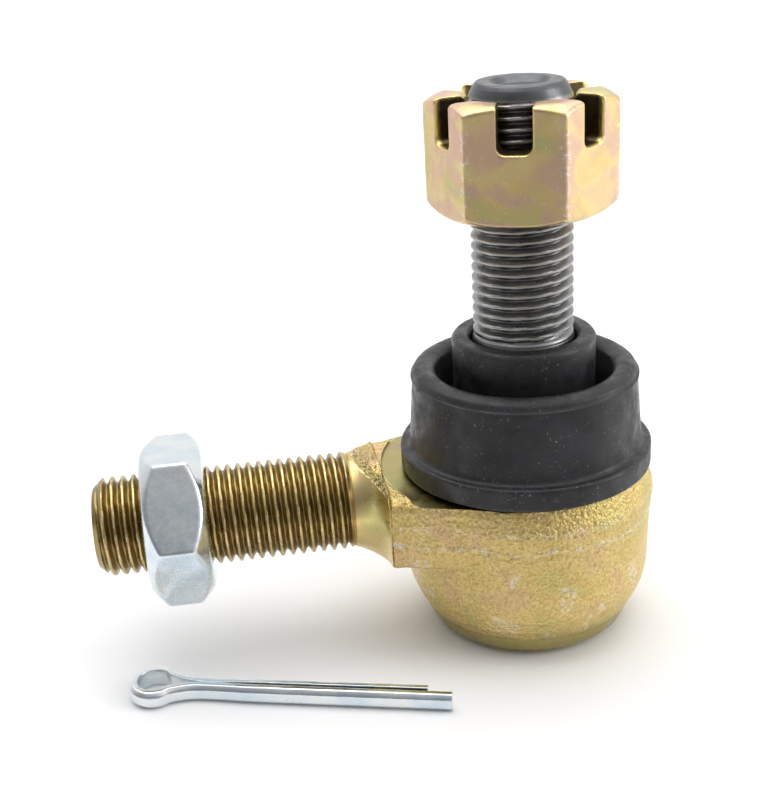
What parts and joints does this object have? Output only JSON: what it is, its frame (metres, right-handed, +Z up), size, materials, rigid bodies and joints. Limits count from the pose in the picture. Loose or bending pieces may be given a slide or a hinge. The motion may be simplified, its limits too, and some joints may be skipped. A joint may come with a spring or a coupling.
{
  "type": "tie rod end",
  "caption": "Ball joint with a forged housing and threaded shank, rubber dust boot, threaded stud with a castle nut, jam nut and a loose split pin.",
  "frame": {"origin": "centre of the cover plate's outer face at the bottom of the housing, level with the housing's rolled lip", "axes": "+Z up the housing's axis and the ball stud, -X along the threaded shank towards its free end"},
  "size_m": [0.0679, 0.0364, 0.0666],
  "materials": {
    "gold_forging": "yellow zinc chromate over a shot-blasted forging",
    "gold_plate": "yellow zinc chromate on pressed steel",
    "gold_nut": "satin yellow zinc chromate",
    "stud_steel": "dark hardened steel, turned and rolled",
    "blue_zinc": "bright blue zinc",
    "boot_rubber": "satin moulded rubber",
    "bearing_plastic": "natural acetal",
    "spring_steel": "oiled spring steel",
    "seal_rubber": "nitrile rubber"
  },
  "bodies": {
    "housing": {"housing": "gold_forging", "upper_bearing_seat": "bearing_plastic", "lower_bearing_seat": "bearing_plastic", "spring_seat": "spring_steel", "preload_spring": "spring_steel", "cover_plate": "gold_plate", "cover_seal": "seal_rubber"},
    "boot": {"dust_boot": "boot_rubber", "boot_base_ring": "spring_steel"},
    "collar": {"boot_collar_ring": "spring_steel"},
    "stud": {"ball_stud": "stud_steel"},
    "castle_nut": {"castle_nut": "gold_nut"},
    "jam_nut": {"jam_nut": "blue_zinc"},
    "split_pin": {"split_pin": "blue_zinc"}
  },
  "joints": [
    {"name": "lean_direction", "type": "hinge", "parent": "housing", "child": "boot", "pos_m": [0, 0, 0.0126], "axis": [0, 0, 1], "continuous": true},
    {"name": "stud_lean", "type": "hinge", "parent": "boot", "child": "collar", "pos_m": [0, 0, 0.0126], "axis": [1, 0, 0], "range_deg": [-20, 20], "deforming": ["dust_boot"]},
    {"name": "stud_spin", "type": "hinge", "parent": "collar", "child": "stud", "pos_m": [0, 0, 0.0126], "axis": [0, 0, 1], "continuous": true},
    {"name": "castle_nut_turn", "type": "hinge", "parent": "stud", "child": "castle_nut", "pos_m": [0, 0, 0.0588], "axis": [0, 0, 1], "continuous": true},
    {"name": "jam_nut_turn", "type": "hinge", "parent": "housing", "child": "jam_nut", "pos_m": [-0.04275, 0, 0.0178], "axis": [-1, 0, 0], "continuous": true},
    {"name": "split_pin_slide", "type": "slide", "parent": "housing", "child": "split_pin", "axis": [0.9622, -0.2723, 0], "range_m": [0, 0.032]}
  ]
}
